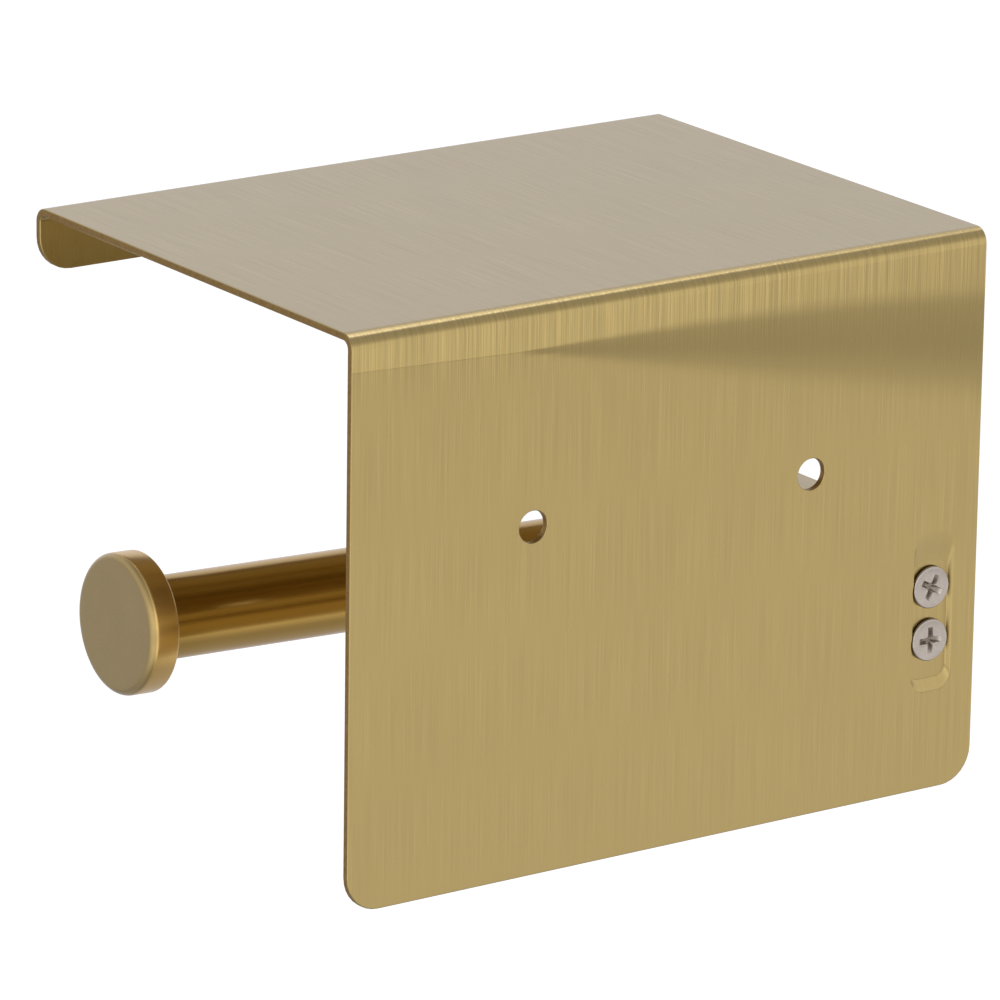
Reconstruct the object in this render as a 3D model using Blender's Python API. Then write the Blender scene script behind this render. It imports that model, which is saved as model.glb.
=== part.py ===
"""Wall-mounted toilet paper holder with a shelf: one folded sheet, a flat arm and an open roll bar.

Row frame, in metres: the wall touches the sheet's rear face at y = 0, the holder stands out towards
-Y, +Z is up, and the origin lies midway between the two wall screw holes. The roll slides on over
the end cap at +X.
"""

from math import cos, pi, radians, sin

import bmesh
import bpy
from mathutils import Matrix, Vector

MM = 0.001
GAP = 0.3 * MM  # clearance between neighbouring pieces
PAST = 1 * MM  # how far a cutter runs past the faces it opens

# Folded sheet: wall plate, shelf and front lip from one blank
SHEET_WIDTH = 145 * MM
SHEET_THICKNESS = 1.5 * MM
PLATE_HEIGHT = 110.5 * MM  # shelf top to the plate's lower edge
SHELF_DEPTH = 109 * MM  # rear face to the lip's front face
LIP_HEIGHT = 13 * MM
BEND_RADIUS = 3 * MM  # outer radius of both bends
PLATE_CORNER_RADIUS = 7 * MM
LIP_CORNER_RADIUS = 7 * MM

# Wall screw holes
HOLE_SPACING = 64 * MM
HOLE_DIAMETER = 6.2 * MM
HOLE_DROP = 42.4 * MM  # below the shelf's top

# Arm: flat bar that carries the roll bar in front of the plate
ARM_THICKNESS = 8 * MM
ARM_HEIGHT = 31 * MM
ARM_CENTRE_X = -61.9 * MM
ARM_CENTRE_Z = -32.7 * MM
ARM_NOSE_RADIUS = 11 * MM
ARM_EDGE_BREAK = 0.5 * MM

# Pocket pressed into the plate behind the arm, so that the screw heads lie below the wall face
POCKET_WIDTH = 9.8 * MM
POCKET_HEIGHT = 30 * MM
POCKET_DEPTH = 1.05 * MM
POCKET_SLOPE = 0.35 * MM  # how far the pressed wall leans in, top to floor
POCKET_CORNER = 2.6 * MM
POCKET_CORNER_TAPER = 0.5  # share of the wall's lean that the corner radius loses

# Arm screws: M4, low flat heads, cross recess
ARM_SCREW_SPACING = 10.6 * MM
ARM_SCREW_SHANK = 4 * MM
ARM_SCREW_HEAD = 8.4 * MM
ARM_SCREW_LENGTH = 15 * MM
HEAD_THICKNESS = 0.7 * MM
HEAD_RIM_ROUND = 0.3 * MM
HEAD_BELOW_WALL = 0.05 * MM
CROSS_SPAN = 4.8 * MM
CROSS_WING = 1.0 * MM
CROSS_DEPTH = 1.9 * MM
CROSS_TAPER = 0.5  # width at the bottom, as a share of the mouth
UPPER_SCREW_TURN = radians(28)

# Roll bar: round tube, raised a little towards its free end so that the roll stays on
BAR_DIAMETER = 16 * MM
BAR_WALL = 1.5 * MM
BAR_DISTANCE = 55 * MM  # axis to wall face
BAR_ROOT_Z = -29.3 * MM  # axis height at the arm's inner face
BAR_RISE = radians(2)
SOCKET_DEPTH = 2 * MM

# End cap: solid disc that closes the bar and holds the roll on
CAP_DIAMETER = 27 * MM
CAP_THICKNESS = 6 * MM
CAP_RIM_ROUND = 1.5 * MM
CAP_BACK_ROUND = 0.4 * MM
CAP_OUTER_X = 88.5 * MM

# Inserts pressed into both ends of the tube, and the screws that use them
INSERT_LENGTH = 12 * MM
INSERT_CHAMFER = 0.5 * MM
STUD_DIAMETER = 6 * MM
STUD_IN_CAP = 3.5 * MM
STUD_CHAMFER = 0.6 * MM
FIXING_SCREW_DIAMETER = 5 * MM
FIXING_SCREW_SHORT = 2 * MM  # how far its end stays inside the insert
FIXING_HEAD_DIAMETER = 9.2 * MM
FIXING_HEAD_CONE = 2.1 * MM
HEX_ACROSS_FLATS = 3 * MM
HEX_DEPTH = 2 * MM

ROUND_STEPS = 48
SHARP_ANGLE = radians(35)  # edges steeper than this stay crisp
BROKEN_ANGLE = radians(50)  # edges steeper than this are broken


# ---------------------------------------------------------------- shared steps


def clear_scene():
    for obj in list(bpy.data.objects):
        bpy.data.objects.remove(obj, do_unlink=True)


def metal(name, colour, roughness):
    """Metallic Principled BSDF; the colour is linear RGB."""
    material = bpy.data.materials.new(name)
    material.use_nodes = True
    shader = material.node_tree.nodes["Principled BSDF"]
    shader.inputs["Base Color"].default_value = (*colour, 1)
    shader.inputs["Metallic"].default_value = 1
    shader.inputs["Roughness"].default_value = roughness
    material.diffuse_color = (*colour, 1)
    return material


def add_object(name, bm, material, parent=None):
    bmesh.ops.recalc_face_normals(bm, faces=bm.faces)
    mesh = bpy.data.meshes.new(name)
    bm.to_mesh(mesh)
    bm.free()
    mesh.shade_smooth()
    mesh.set_sharp_from_angle(angle=SHARP_ANGLE)
    obj = bpy.data.objects.new(name, mesh)
    bpy.context.scene.collection.objects.link(obj)
    if material:
        mesh.materials.append(material)
    obj.parent = parent
    return obj


def use_cutter(target, cutter, operation="DIFFERENCE"):
    """Adds a Boolean of a helper object that is itself left out of the part."""
    cutter.hide_render = True
    cutter.display_type = "WIRE"
    boolean = target.modifiers.new(cutter.name, "BOOLEAN")
    boolean.operation = operation
    boolean.solver = "EXACT"
    boolean.object = cutter


def break_edges(obj, width):
    bevel = obj.modifiers.new("edge_break", "BEVEL")
    bevel.width = width
    bevel.segments = 1
    bevel.limit_method = "ANGLE"
    bevel.angle_limit = BROKEN_ANGLE


def turned(profile, closed=False, steps=ROUND_STEPS):
    """Body turned about +X from (along, radius) points; a radius of 0 closes an end."""
    bm = bmesh.new()
    rings = []
    for along, radius in profile:
        count = steps if radius > 0 else 1
        turns = [2 * pi * k / steps for k in range(count)]
        rings.append([bm.verts.new((along, radius * cos(t), radius * sin(t))) for t in turns])
    pairs = list(zip(rings, rings[1:]))
    if closed:
        pairs.append((rings[-1], rings[0]))
    for first, second in pairs:
        for k in range(steps):
            corners = [first[k % len(first)], first[(k + 1) % len(first)]]
            corners += [second[(k + 1) % len(second)], second[k % len(second)]]
            bm.faces.new(dict.fromkeys(corners))
    return bm


def rounded_outline(width, height, radius, steps=6):
    """Corner-rounded rectangle about the origin, counter-clockwise."""
    points = []
    for quarter, (sx, sy) in enumerate(((1, 1), (-1, 1), (-1, -1), (1, -1))):
        centre = Vector((sx * (width / 2 - radius), sy * (height / 2 - radius)))
        for k in range(steps + 1):
            turn = pi / 2 * (quarter + k / steps)
            points.append(centre + radius * Vector((cos(turn), sin(turn))))
    return points


def loft(first, second):
    """Closed body between two outlines with the same number of (x, y, z) points."""
    bm = bmesh.new()
    start = [bm.verts.new(point) for point in first]
    end = [bm.verts.new(point) for point in second]
    bm.faces.new(start)
    bm.faces.new(end)
    for k in range(len(start)):
        after = (k + 1) % len(start)
        bm.faces.new((start[k], start[after], end[after], end[k]))
    return bm


# ---------------------------------------------------------------- folded sheet


def fold(x, run, depth):
    """Place in the folded sheet of a point of the flat blank.

    run is the way along the outer face from the plate's lower edge, depth the way in from it.
    """
    top = HOLE_DROP
    plate = PLATE_HEIGHT - BEND_RADIUS
    quarter = BEND_RADIUS * pi / 2
    shelf = SHELF_DEPTH - 2 * BEND_RADIUS
    if run <= plate:
        return Vector((x, -depth, top - PLATE_HEIGHT + run))
    run -= plate
    if run < quarter:
        turn = run / BEND_RADIUS
        radius = BEND_RADIUS - depth
        y = -BEND_RADIUS + radius * cos(turn)
        return Vector((x, y, top - BEND_RADIUS + radius * sin(turn)))
    run -= quarter
    if run <= shelf:
        return Vector((x, -BEND_RADIUS - run, top - depth))
    run -= shelf
    if run < quarter:
        turn = run / BEND_RADIUS
        radius = BEND_RADIUS - depth
        y = -SHELF_DEPTH + BEND_RADIUS - radius * sin(turn)
        return Vector((x, y, top - BEND_RADIUS + radius * cos(turn)))
    run -= quarter
    return Vector((x, -SHELF_DEPTH + depth, top - BEND_RADIUS - run))


def blank_outline(steps=8):
    """Outline of the flat blank as (x, run): rounded at the plate's foot and at the lip's end."""
    plate_end = PLATE_HEIGHT - BEND_RADIUS
    shelf_end = plate_end + BEND_RADIUS * pi / 2 + SHELF_DEPTH - 2 * BEND_RADIUS
    length = shelf_end + BEND_RADIUS * pi / 2 + LIP_HEIGHT - BEND_RADIUS
    points = []
    for quarter, (side, run, radius) in enumerate((
        (1, length, LIP_CORNER_RADIUS),
        (-1, length, LIP_CORNER_RADIUS),
        (-1, 0, PLATE_CORNER_RADIUS),
        (1, 0, PLATE_CORNER_RADIUS),
    )):
        centre_x = side * (SHEET_WIDTH / 2 - radius)
        centre_run = run - radius if run else radius
        for k in range(steps + 1):
            turn = pi / 2 * (quarter + k / steps)
            points.append((centre_x + radius * cos(turn), centre_run + radius * sin(turn)))
    return points, plate_end, shelf_end


def folded_sheet(bend_steps=10):
    outline, plate_end, shelf_end = blank_outline()
    front = [(x, run, 0) for x, run in outline]
    back = [(x, run, SHEET_THICKNESS) for x, run in outline]
    bm = loft(front, back)
    for start in (plate_end, shelf_end):
        for k in range(bend_steps + 1):
            cut = Vector((0, start + BEND_RADIUS * pi / 2 * k / bend_steps, 0))
            everything = bm.verts[:] + bm.edges[:] + bm.faces[:]
            bmesh.ops.bisect_plane(bm, geom=everything, plane_co=cut, plane_no=(0, 1, 0), dist=1e-7)
    for vertex in bm.verts:
        vertex.co = fold(*vertex.co)
    return bm


def pocket_body(depth_from, depth_to, grow):
    """Tapered block of the pressed pocket, widest at its mouth; grow adds to every side."""
    lean = POCKET_SLOPE / POCKET_DEPTH
    ends = []
    for depth in (depth_from, depth_to):
        inset = depth * lean - grow
        corner = POCKET_CORNER - inset * POCKET_CORNER_TAPER
        outline = rounded_outline(POCKET_WIDTH - 2 * inset, POCKET_HEIGHT - 2 * inset, corner)
        ends.append([Vector((ARM_CENTRE_X + p.x, -depth, ARM_CENTRE_Z + p.y)) for p in outline])
    return loft(*ends)


def across_wall(radius, x, z, start, end):
    """Round cutter along Y from y = start to y = end."""
    bm = turned([(start, 0), (start, radius), (end, radius), (end, 0)], steps=32)
    bm.transform(Matrix.Translation((x, 0, z)) @ Matrix.Rotation(pi / 2, 4, "Z"))
    return bm


def arm_screw_heights():
    half = ARM_SCREW_SPACING / 2
    return {"upper": ARM_CENTRE_Z + half, "lower": ARM_CENTRE_Z - half}


def make_sheet(brass):
    sheet = add_object("folded_sheet", folded_sheet(), brass)
    pad = pocket_body(SHEET_THICKNESS / 2, SHEET_THICKNESS + POCKET_DEPTH, SHEET_THICKNESS)
    use_cutter(sheet, add_object("cut_pad", pad, None), "UNION")
    mouth = pocket_body(-GAP, POCKET_DEPTH, 0)
    use_cutter(sheet, add_object("cut_pocket", mouth, None))
    through = -SHEET_THICKNESS - POCKET_DEPTH - PAST
    for name, z in arm_screw_heights().items():
        hole = across_wall(ARM_SCREW_SHANK / 2 + GAP, ARM_CENTRE_X, z, PAST, through)
        use_cutter(sheet, add_object(f"cut_screw_{name}", hole, None))
    for name, side in (("left", 1), ("right", -1)):
        hole = across_wall(HOLE_DIAMETER / 2, side * HOLE_SPACING / 2, 0, PAST, through)
        use_cutter(sheet, add_object(f"cut_wall_{name}", hole, None))
    return sheet


# ---------------------------------------------------------------- arm and its screws


def make_arm(brass, bar_axis):
    rear = -SHEET_THICKNESS - POCKET_DEPTH - GAP
    nose = -BAR_DISTANCE - ARM_HEIGHT / 2
    length = rear - nose
    bm = bmesh.new()
    size = Matrix.Diagonal((ARM_THICKNESS, length, ARM_HEIGHT, 1))
    place = Matrix.Translation((ARM_CENTRE_X, (rear + nose) / 2, ARM_CENTRE_Z))
    bmesh.ops.create_cube(bm, size=1, matrix=place @ size)
    along_x = [e for e in bm.edges if all(v.co.y < nose + GAP for v in e.verts)]
    along_x = [e for e in along_x if abs(e.verts[0].co.x - e.verts[1].co.x) > GAP]
    bmesh.ops.bevel(
        bm, geom=along_x, offset=ARM_NOSE_RADIUS, offset_type="OFFSET", segments=8,
        profile=0.5, affect="EDGES",
    )
    arm = add_object("arm", bm, brass)
    break_edges(arm, ARM_EDGE_BREAK)
    hole_end = rear - ARM_SCREW_LENGTH - PAST
    for name, z in arm_screw_heights().items():
        hole = across_wall(ARM_SCREW_SHANK / 2 + GAP, ARM_CENTRE_X, z, PAST, hole_end)
        use_cutter(arm, add_object(f"cut_thread_{name}", hole, None))
    radius = BAR_DIAMETER / 2 + GAP
    socket = turned([(-SOCKET_DEPTH, 0), (-SOCKET_DEPTH, radius), (PAST, radius), (PAST, 0)])
    use_cutter(arm, add_object("cut_socket", socket, None, bar_axis))
    shank = FIXING_SCREW_DIAMETER / 2 + GAP
    head = FIXING_HEAD_DIAMETER / 2 + GAP
    seat = -ARM_THICKNESS + 4 * GAP
    countersink = turned([
        (-ARM_THICKNESS - PAST, 0), (-ARM_THICKNESS - PAST, head), (seat, head),
        (seat + FIXING_HEAD_CONE, shank), (PAST, shank), (PAST, 0),
    ])
    use_cutter(arm, add_object("cut_countersink", countersink, None, bar_axis))
    return arm


def cross_recess():
    """Tapered cross cutter, mouth at x = 0, pointing to +X."""
    wings = []
    for across, along in ((CROSS_SPAN, CROSS_WING), (CROSS_WING, CROSS_SPAN)):
        bm = bmesh.new()
        size = Matrix.Diagonal((CROSS_DEPTH + GAP, across, along, 1))
        place = Matrix.Translation(((CROSS_DEPTH - GAP) / 2, 0, 0))
        bmesh.ops.create_cube(bm, size=1, matrix=place @ size)
        for vertex in bm.verts:
            if vertex.co.x > CROSS_DEPTH / 2:
                vertex.co.y *= CROSS_TAPER
                vertex.co.z *= CROSS_TAPER
        wings.append(bm)
    return wings


def make_arm_screw(name, z, turn, steel):
    """M4 screw from behind; its own +X points forward, into the arm."""
    head = ARM_SCREW_HEAD / 2
    shank = ARM_SCREW_SHANK / 2
    soft = HEAD_RIM_ROUND
    end = HEAD_THICKNESS + ARM_SCREW_LENGTH
    screw = add_object(f"arm_screw_{name}", turned([
        (0, 0), (0, head - soft), (soft / 3, head - soft / 3), (soft, head),
        (HEAD_THICKNESS, head), (HEAD_THICKNESS, shank), (end - shank / 2, shank),
        (end, shank / 2), (end, 0),
    ], steps=40), steel)
    pose = Matrix.Translation((ARM_CENTRE_X, -HEAD_BELOW_WALL, z))
    pose = pose @ Matrix.Rotation(-pi / 2, 4, "Z") @ Matrix.Rotation(turn, 4, "X")
    screw.matrix_world = pose
    for number, wing in enumerate(cross_recess(), start=1):
        cutter = add_object(f"cut_cross_{name}_{number}", wing, None)
        cutter.matrix_world = pose
        use_cutter(screw, cutter)
    return screw


# ---------------------------------------------------------------- roll bar and end cap


def bar_length():
    """Arm's inner face to the tube's free end, along the axis."""
    inner = ARM_CENTRE_X + ARM_THICKNESS / 2
    return (CAP_OUTER_X - inner) / cos(BAR_RISE) - CAP_THICKNESS - GAP


def make_bar_axis():
    """Empty at the arm's inner face; its +X runs along the roll bar."""
    axis = bpy.data.objects.new("bar_axis", None)
    bpy.context.scene.collection.objects.link(axis)
    axis.location = (ARM_CENTRE_X + ARM_THICKNESS / 2, -BAR_DISTANCE, BAR_ROOT_Z)
    axis.rotation_euler = (0, -BAR_RISE, 0)
    return axis


def make_bar(brass, bar_axis):
    start = -SOCKET_DEPTH + GAP
    end = bar_length()
    outer = BAR_DIAMETER / 2
    inner = outer - BAR_WALL
    tube = [(start, inner), (start, outer), (end, outer), (end, inner)]
    return add_object("roll_bar", turned(tube, closed=True), brass, bar_axis)


def make_insert(name, start, bore, steel, bar_axis):
    """Steel plug pressed into the tube, drilled right through for its screw."""
    outer = BAR_DIAMETER / 2 - BAR_WALL - GAP
    chamfer = INSERT_CHAMFER
    end = start + INSERT_LENGTH
    ring = [
        (start, bore), (start, outer - chamfer), (start + chamfer, outer),
        (end - chamfer, outer), (end, outer - chamfer), (end, bore),
    ]
    return add_object(name, turned(ring, closed=True, steps=32), steel, bar_axis)


def make_fixing_screw(steel, bar_axis):
    """M5 countersunk screw through the arm into the root insert."""
    head = FIXING_HEAD_DIAMETER / 2
    shank = FIXING_SCREW_DIAMETER / 2
    top = -ARM_THICKNESS + 2 * GAP
    end = INSERT_LENGTH - FIXING_SCREW_SHORT
    screw = add_object("bar_fixing_screw", turned([
        (top, 0), (top, head - GAP), (top + GAP, head), (top + FIXING_HEAD_CONE + GAP, shank),
        (end - shank / 2, shank), (end, shank / 2), (end, 0),
    ], steps=32), steel, bar_axis)
    flats = HEX_ACROSS_FLATS / (2 * cos(pi / 6))
    bottom = top + HEX_DEPTH
    hexagon = turned([(top - PAST, 0), (top - PAST, flats), (bottom, flats), (bottom, 0)], steps=6)
    use_cutter(screw, add_object("cut_hexagon", hexagon, None, bar_axis))
    return screw


def make_end_cap(brass, bar_axis):
    back = bar_length() + GAP
    face = back + CAP_THICKNESS
    outer = CAP_DIAMETER / 2
    bore = STUD_DIAMETER / 2 + GAP
    bore_end = back + STUD_IN_CAP + GAP
    profile = [(bore_end, 0), (bore_end, bore), (back, bore), (back, outer - CAP_BACK_ROUND)]
    profile.append((back + CAP_BACK_ROUND, outer))
    steps = 6
    for k in range(steps + 1):
        turn = pi / 2 * k / steps
        along = face - CAP_RIM_ROUND * (1 - sin(turn))
        profile.append((along, outer - CAP_RIM_ROUND * (1 - cos(turn))))
    profile.append((face, 0))
    return add_object("end_cap", turned(profile, steps=64), brass, bar_axis)


def make_stud(steel, bar_axis):
    """M6 stud between the end cap and the tip insert."""
    end = bar_length() + GAP + STUD_IN_CAP
    start = bar_length() - INSERT_LENGTH
    radius = STUD_DIAMETER / 2
    chamfer = STUD_CHAMFER
    return add_object("cap_stud", turned([
        (start, 0), (start, radius - chamfer), (start + chamfer, radius),
        (end - chamfer, radius), (end, radius - chamfer), (end, 0),
    ], steps=32), steel, bar_axis)


# ---------------------------------------------------------------- assembly


clear_scene()
brushed_brass = metal("brushed_brass", (0.45, 0.33, 0.14), 0.35)
satin_brass = metal("satin_brass", (0.40, 0.29, 0.12), 0.28)
nickel_steel = metal("nickel_plated_steel", (0.62, 0.60, 0.58), 0.3)
plain_steel = metal("plain_steel", (0.45, 0.45, 0.45), 0.45)

bar_root = make_bar_axis()
make_sheet(brushed_brass)
make_arm(brushed_brass, bar_root)
for position, height in arm_screw_heights().items():
    screw_turn = UPPER_SCREW_TURN if position == "upper" else 0
    make_arm_screw(position, height, screw_turn, nickel_steel)
make_bar(satin_brass, bar_root)
screw_bore = FIXING_SCREW_DIAMETER / 2 + GAP
make_insert("root_insert", -SOCKET_DEPTH + 2 * GAP, screw_bore, plain_steel, bar_root)
make_fixing_screw(plain_steel, bar_root)
stud_bore = STUD_DIAMETER / 2 + GAP
make_insert("tip_insert", bar_length() - INSERT_LENGTH - GAP, stud_bore, plain_steel, bar_root)
make_end_cap(satin_brass, bar_root)
make_stud(plain_steel, bar_root)
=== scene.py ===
from math import cos, pi, radians, sin, sqrt

import bmesh
import bpy
from mathutils import Matrix, Vector
from mathutils.geometry import delaunay_2d_cdt


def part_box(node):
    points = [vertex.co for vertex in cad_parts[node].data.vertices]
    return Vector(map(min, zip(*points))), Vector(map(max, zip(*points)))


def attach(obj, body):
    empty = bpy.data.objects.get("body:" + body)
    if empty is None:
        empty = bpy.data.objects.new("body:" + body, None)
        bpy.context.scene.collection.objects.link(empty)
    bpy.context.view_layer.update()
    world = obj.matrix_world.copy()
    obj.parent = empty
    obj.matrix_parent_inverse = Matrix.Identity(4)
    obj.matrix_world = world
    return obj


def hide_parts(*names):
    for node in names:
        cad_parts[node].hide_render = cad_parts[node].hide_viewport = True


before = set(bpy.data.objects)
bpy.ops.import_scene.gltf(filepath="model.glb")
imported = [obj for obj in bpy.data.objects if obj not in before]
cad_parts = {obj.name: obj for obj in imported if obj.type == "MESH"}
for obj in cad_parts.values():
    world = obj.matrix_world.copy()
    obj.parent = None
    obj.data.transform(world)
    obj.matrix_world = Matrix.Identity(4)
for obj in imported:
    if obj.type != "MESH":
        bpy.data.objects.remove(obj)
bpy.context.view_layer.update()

MM = 0.001


# ---------------------------------------------------------------- folded sheet
# One piece of 1.5 mm sheet: wall plate, shelf and front lip. It was brushed flat, drilled and
# pressed, then bent twice in a press brake, so the grain runs up the plate, over the bend and
# out along the shelf. Two screws through the plate hold it to the wall.

SHEET = 1.5 * MM
BEND = 3 * MM  # outer radius of both bends
LIP = 13 * MM
FOOT_CORNER = 7 * MM
LIP_CORNER = 7 * MM
BROKEN_EDGE = 0.25 * MM
HOLE_RADIUS = 3.1 * MM
HOLE_REACH = 32 * MM  # from the middle of the plate
CORNER_STEPS = 8

# The plate springs out of flat below the bend. Distances are in mm below the bend, slopes in
# degrees, and drifts say how much further down a line runs for one width towards the arm's side.
SHOULDER_END = 4
SHOULDER_DRIFT = 5.6
LOW_SHOULDER = 5.4  # where the shoulder ends from a quarter of the width on
LOW_SHOULDER_BOW = 4.6
SHARP_FALL = 0.05  # depth of the fall where it is sharpest
FALL_DRIFT = 27.5
FALL_START = -1.5
SPRING_PEAK = 11.5
PEAK_LOSS = 3.5

sheet_low, sheet_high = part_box("folded_sheet")
half_width = sheet_high.x
wall_face = sheet_high.y
plate_run = sheet_high.z - sheet_low.z - BEND
bend_run = BEND * pi / 2
shelf_run = wall_face - sheet_low.y - 2 * BEND
lip_run = LIP - BEND
shelf_start = plate_run + bend_run
lip_start = shelf_start + shelf_run
whole_run = lip_start + bend_run + lip_run


def fold(run):
    """Outer-face point, grain direction and inward direction at a distance along the flat sheet."""
    place = Vector((0, wall_face, sheet_low.z))
    turn = 0
    for length, radius in (
        (plate_run, 0), (bend_run, BEND), (shelf_run, 0), (bend_run, BEND), (lip_run, 0)
    ):
        step = min(run, length)
        inward = Vector((0, -cos(turn), -sin(turn)))
        if radius:
            centre = place + inward * radius
            turn += step / radius
            place = centre - Vector((0, -cos(turn), -sin(turn))) * radius
        else:
            place = place + Vector((0, -sin(turn), cos(turn))) * step
        run -= step
        if run <= 0:
            break
    return place, Vector((0, -sin(turn), cos(turn))), Vector((0, -cos(turn), -sin(turn)))


def shoulder_end(across):
    """How far below the bend the shoulder ends; across is 0 at the free side, 1 at the arm's side."""
    return min(SHOULDER_END + SHOULDER_DRIFT * across, LOW_SHOULDER + LOW_SHOULDER_BOW * across ** 4)


def spring(x, run):
    """Slope that the bend leaves in the plate: a shoulder below the bend, then a fall to flat."""
    below = (plate_run - run) / MM
    across = 0.5 - x / (2 * half_width)
    peak = SPRING_PEAK - PEAK_LOSS * across
    if below < 0:
        return radians(peak) * max(0, 1 + below * MM / bend_run)
    shoulder = shoulder_end(across)
    foot = max(shoulder + SHARP_FALL, FALL_DRIFT * across + FALL_START)
    reach = foot - shoulder
    ease = min(1.8, 0.15 * reach)
    stops = (
        (0, peak), (shoulder - ease, peak - 0.4), (shoulder + ease, 5.2), ((shoulder + foot) / 2, 4.4),
        (foot, 2.3), (foot + 0.4 * reach, 0.3), (foot + 0.9 * reach, 0),
    )
    for (start, high), (end, low) in zip(stops, stops[1:]):
        if below < end:
            return radians(high + (low - high) * (below - start) / (end - start))
    return 0


sheet = bmesh.new()
sheet_vertices = []
sheet_normals = []
sheet_places = []


def sheet_point(x, run, depth, slant=None):
    """Vertex of the sheet; slant is its normal as (x, run, depth), left out where the mesh gives it."""
    place, along, inward = fold(run)
    vertex = sheet.verts.new(place + Vector((x, 0, 0)) + inward * depth)
    if slant:
        slant = Vector((1, 0, 0)) * slant[0] + along * slant[1] + inward * slant[2]
    vertex.index = len(sheet_vertices)
    sheet_vertices.append(vertex)
    sheet_normals.append(slant)
    sheet_places.append((x, run))
    return vertex


def flat_point(x, run, depth, side):
    """Vertex on a broad face of the sheet: side is -1 on the outer face and 1 on the inner."""
    return sheet_point(x, run, depth, (0, -side * spring(x, run), side))


def blank_outline(rows):
    """Edge of the flat blank as (x, run, outward x, outward run), anticlockwise from the foot."""
    points = []
    for side, end, radius in (
        (1, 0, FOOT_CORNER), (1, 1, LIP_CORNER), (-1, 1, LIP_CORNER), (-1, 0, FOOT_CORNER)
    ):
        first = {(1, 0): -90, (1, 1): 0, (-1, 1): 90, (-1, 0): 180}[side, end]
        centre_x = side * (half_width - radius)
        centre_run = whole_run - radius if end else radius
        for k in range(CORNER_STEPS + 1):
            turn = radians(first + 90 * k / CORNER_STEPS)
            points.append((
                centre_x + radius * cos(turn), centre_run + radius * sin(turn), cos(turn), sin(turn)
            ))
        if (side, end) == (1, 0):
            points += [(half_width, run, 1, 0) for run in rows]
        if (side, end) == (-1, 1):
            points += [(-half_width, run, -1, 0) for run in reversed(rows)]
    return points


def round_hole(x, run, radius, steps=40):
    """Edge of a drilled hole, in the same form; outward is towards the hole's middle."""
    points = []
    for k in range(steps):
        turn = 2 * pi * k / steps
        points.append((x + radius * cos(turn), run + radius * sin(turn), -cos(turn), -sin(turn)))
    return points


def edge_ring(points, offset, depth, outward, inward):
    """Ring of vertices along an edge; outward and inward give the lean of its normals."""
    return [
        sheet_point(x + a * offset, run + b * offset, depth,
                    (a * outward, b * outward - inward * spring(x, run), inward))
        for x, run, a, b in points
    ]


def join_rings(bm, rings, closed=True):
    """Bands of quads between neighbouring rings."""
    faces = []
    for first, second in zip(rings, rings[1:]):
        count = len(first)
        for k in range(count if closed else count - 1):
            after = (k + 1) % count
            faces.append(bm.faces.new((first[k], first[after], second[after], second[k])))
    return faces


def rounded_rim(points, steps=4):
    """Cut edge of the sheet with both of its corners broken; returns its rear and front rings."""
    turns = [pi / 2 * k / steps for k in range(steps + 1)]
    rings = []
    for t in turns:
        shift = BROKEN_EDGE * (1 - sin(t))
        rings.append(edge_ring(points, -shift, BROKEN_EDGE * (1 - cos(t)), sin(t), -cos(t)))
    for t in reversed(turns):
        shift = BROKEN_EDGE * (1 - sin(t))
        rings.append(edge_ring(points, -shift, SHEET - BROKEN_EDGE * (1 - cos(t)), sin(t), cos(t)))
    join_rings(sheet, rings[:steps])
    for face in join_rings(sheet, rings[steps - 1:steps + 3]):
        face.material_index = 1
    join_rings(sheet, rings[steps + 2:])
    return rings[0], rings[-1]


# Rows across the sheet: close together where the plate springs and in the bends
COARSE_ROW = 0.75 * MM
FINE_ROW = 0.25 * MM
SHOULDER_ROW = 0.06 * MM
BEND_ROWS = 16
SHELF_ROWS = 12
COLUMNS = 24
rows = [plate_run - k * COARSE_ROW for k in range(47, 8, -1)]
rows += [plate_run - k * FINE_ROW for k in range(24, 0, -1)]
rows += [plate_run - SHOULDER_END * MM - SHOULDER_ROW, plate_run - SHOULDER_END * MM + SHOULDER_ROW]
rows.sort()
rows += [plate_run + bend_run * k / BEND_ROWS for k in range(BEND_ROWS + 1)]
rows += [shelf_start + shelf_run * k / SHELF_ROWS for k in range(1, SHELF_ROWS)]
rows += [lip_start + bend_run * k / BEND_ROWS for k in range(BEND_ROWS + 1)]
columns = [half_width * (2 * k / COLUMNS - 1) for k in range(1, COLUMNS)]

outline = blank_outline(rows)
outline_rings = rounded_rim(outline)
hole_run = -sheet_low.z
holes = [rounded_rim(round_hole(side * HOLE_REACH, hole_run, HOLE_RADIUS)) for side in (1, -1)]


# The pocket behind the arm is pressed 1 mm into the plate. Its ends and the wall towards the
# plate's edge are eased; beside the screws it is widened to clear their heads.
POCKET_DEPTH = 1.05 * MM
POCKET_NEAR = (4.55, 4.35)  # mm from the screws' line to the steep wall, at the mouth and floor
POCKET_FAR = (5.1, 4.25)  # the same to the eased wall
POCKET_TOP = (16.5, 9.9)  # mm from the middle up to the long ramp
POCKET_FOOT = (15.7, 13)  # mm from the middle down to the short one
POCKET_CORNER = (3.2, 2.2)
PAD_GROWTH = 0.9 * MM  # how much wider the pocket stands out on the front
HEAD_RELIEF = 4.75 * MM  # radius cleared round each screw head
RELIEF_DROP = 0.3 * MM
SCREW_SPACING = 10.6 * MM
SHANK_HOLE = 2.3 * MM

arm_low, arm_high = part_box("arm")
arm_x = (arm_low.x + arm_high.x) / 2
arm_z = (arm_low.z + arm_high.z) / 2
pocket_run = arm_z - sheet_low.z


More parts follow.
